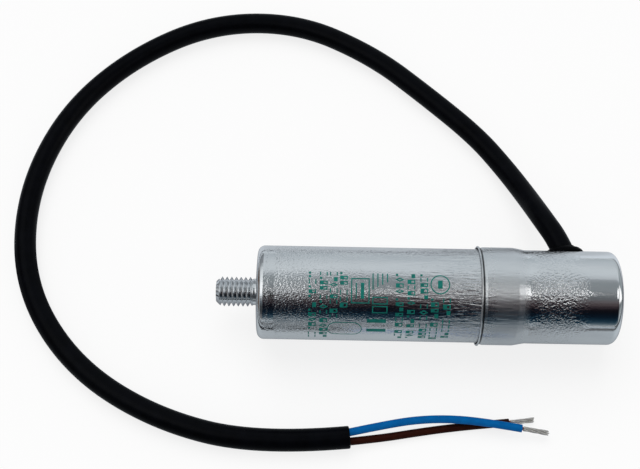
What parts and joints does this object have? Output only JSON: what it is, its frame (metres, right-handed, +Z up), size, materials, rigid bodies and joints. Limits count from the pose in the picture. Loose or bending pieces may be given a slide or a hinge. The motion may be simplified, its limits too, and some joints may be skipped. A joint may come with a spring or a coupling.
{
  "type": "motor run capacitor",
  "caption": "Motor run capacitor in a round metal can with a threaded mounting stud, closed by a cap that its connecting cable leaves.",
  "frame": {"origin": "middle of the can, cap and stud on the surface that the part lies on, below the can's axis", "axes": "+X along the can's axis from the stud to the cap's closed end, +Y to the side the cable leaves, +Z up"},
  "size_m": [0.1653, 0.1353, 0.0267],
  "materials": {
    "bare_can": "bare drawn aluminium, bright, with fine dents and lengthwise grain",
    "bare_cap": "bare drawn metal, satin",
    "black_rubber": "semi-gloss moulded rubber",
    "black_sheath": "glossy soft PVC",
    "blue_insulation": "satin PVC",
    "brown_insulation": "satin PVC",
    "tinned_strands": "twisted tinned copper strands",
    "insulator_board": "pressed insulating board",
    "clear_film": "translucent polymer film",
    "metallised_film": "wound metallised film, satin edges",
    "sprayed_zinc": "rough sprayed metal",
    "moulded_lid": "moulded thermoset",
    "grey_plastic": "moulded plastic tube",
    "tinned_brass": "tinned brass",
    "solder_metal": "satin solder",
    "sleeving": "insulating sleeve"
  },
  "bodies": {
    "root": {"can": "bare_can", "cap": "bare_cap", "grommet": "black_rubber", "cable_sheath": "black_sheath", "core_blue": "blue_insulation", "core_brown": "brown_insulation", "strands_blue": "tinned_strands", "strands_brown": "tinned_strands", "inner_core_blue": "blue_insulation", "inner_core_brown": "brown_insulation", "base_insulator": "insulator_board", "can_liner": "clear_film", "winding_mandrel": "grey_plastic", "film_winding": "metallised_film", "contact_layer_base": "sprayed_zinc", "contact_layer_lid": "sprayed_zinc", "winding_lead_base": "tinned_strands", "winding_lead_lid": "tinned_strands", "lid": "moulded_lid", "lid_seal": "black_rubber", "terminal_blue": "tinned_brass", "terminal_brown": "tinned_brass", "solder_blue": "solder_metal", "solder_brown": "solder_metal", "insulating_sleeve_blue": "sleeving", "insulating_sleeve_brown": "sleeving"}
  },
  "joints": []
}
